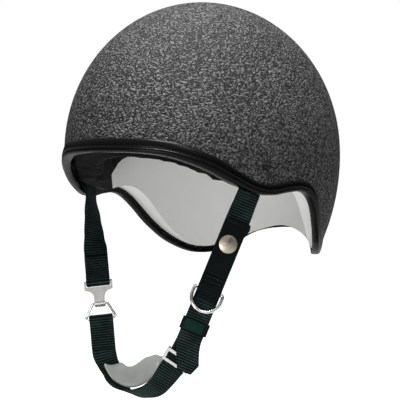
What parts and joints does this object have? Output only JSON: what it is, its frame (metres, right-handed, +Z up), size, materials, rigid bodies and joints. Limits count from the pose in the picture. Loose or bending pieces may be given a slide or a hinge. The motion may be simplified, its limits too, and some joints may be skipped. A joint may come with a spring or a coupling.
{
  "type": "skull cap helmet",
  "caption": "Peakless riding skull cap: textured shell, edge trim, foam liner, padded headband and a webbing chin harness with hook, link, D-ring, press-stud flap and moulded chin cup.",
  "frame": {"origin": "centre of the head opening at the level where the shell is widest, between the ears", "axes": "+Z up to the crown, -Y towards the wearer's face, +X towards the wearer's left"},
  "size_m": [0.2174, 0.2614, 0.3259],
  "materials": {
    "shell": "matt textured paint over a glass fibre laminate",
    "trim": "satin moulded rubber",
    "foam": "moulded bead foam",
    "lining": "brushed knit over foam",
    "painted_rivet": "matt paint",
    "nylon": "satin",
    "steel": "zinc plated",
    "webbing": "ribbed woven webbing",
    "flap_webbing": "ribbed woven webbing",
    "snap_metal": "aged nickel",
    "bright_wire": "nickel plated wire",
    "plated_steel": "nickel plated sheet",
    "keeper_rubber": "satin",
    "cup": "satin moulded rubber"
  },
  "bodies": {
    "helmet": {"shell": "shell", "edge_trim": "trim", "impact_liner": "foam", "headband": "lining", "crown_pad": "lining", "anchor_rivet_left": "painted_rivet", "anchor_rivet_right": "painted_rivet", "anchor_bush_left": "nylon", "anchor_bush_right": "nylon", "anchor_washer_left": "steel", "anchor_washer_right": "steel"},
    "harness": {"strap_left": "webbing", "strap_right": "webbing", "chin_strap": "webbing", "ring_tab": "flap_webbing", "snap_stud": "snap_metal", "snap_post": "snap_metal", "slide_buckle": "plated_steel"},
    "flap": {"release_flap": "flap_webbing", "snap_cap": "snap_metal", "snap_socket": "snap_metal"},
    "ring": {"d_ring": "bright_wire"},
    "keeper": {"keeper_loop": "keeper_rubber"},
    "cup": {"chin_cup": "cup"},
    "hook": {"hook_plate": "plated_steel", "gate_pin": "plated_steel"},
    "gate": {"hook_gate": "plated_steel"},
    "link": {"wire_link": "bright_wire"}
  },
  "joints": [
    {"name": "harness_swing", "type": "hinge", "parent": "helmet", "child": "harness", "pos_m": [0, -0.043, -0.009], "axis": [1, 0, 0], "range_deg": [-8, 35]},
    {"name": "flap_lift", "type": "hinge", "parent": "harness", "child": "flap", "pos_m": [0.06679, -0.0734, -0.0974], "axis": [0.7067, 0.5675, -0.4225], "range_deg": [0, 60]},
    {"name": "d_ring_swing", "type": "hinge", "parent": "harness", "child": "ring", "pos_m": [0.06295, -0.07671, -0.10828], "axis": [-0.7067, -0.5675, 0.4225], "range_deg": [0, 100]},
    {"name": "keeper_slide", "type": "slide", "parent": "harness", "child": "keeper", "axis": [-0.3094, -0.2891, -0.9059], "range_m": [-0.004, 0.004]},
    {"name": "chin_cup_slide", "type": "hinge", "parent": "harness", "child": "cup", "pos_m": [0, -0.08678, -0.14618], "axis": [0, -0.9527, 0.304], "range_deg": [-2.5, 2.5]},
    {"name": "hook_tilt", "type": "hinge", "parent": "harness", "child": "hook", "pos_m": [-0.06077, -0.0757, -0.10454], "axis": [-0.7693, -0.6361, -0.0598], "range_deg": [-3.5, 3.5]},
    {"name": "link_tilt", "type": "hinge", "parent": "hook", "child": "link", "pos_m": [-0.05675, -0.07887, -0.12247], "axis": [-0.7693, -0.6361, -0.0598], "range_deg": [-9, 9]},
    {"name": "gate_flex", "type": "hinge", "parent": "hook", "child": "gate", "pos_m": [-0.05931, -0.07665, -0.11324], "axis": [-0.7693, -0.6361, -0.0598], "range_deg": [0, 4]}
  ],
  "couplings": [
    {"joint": "link_tilt", "follows": "hook_tilt", "ratio": -2.2867}
  ]
}
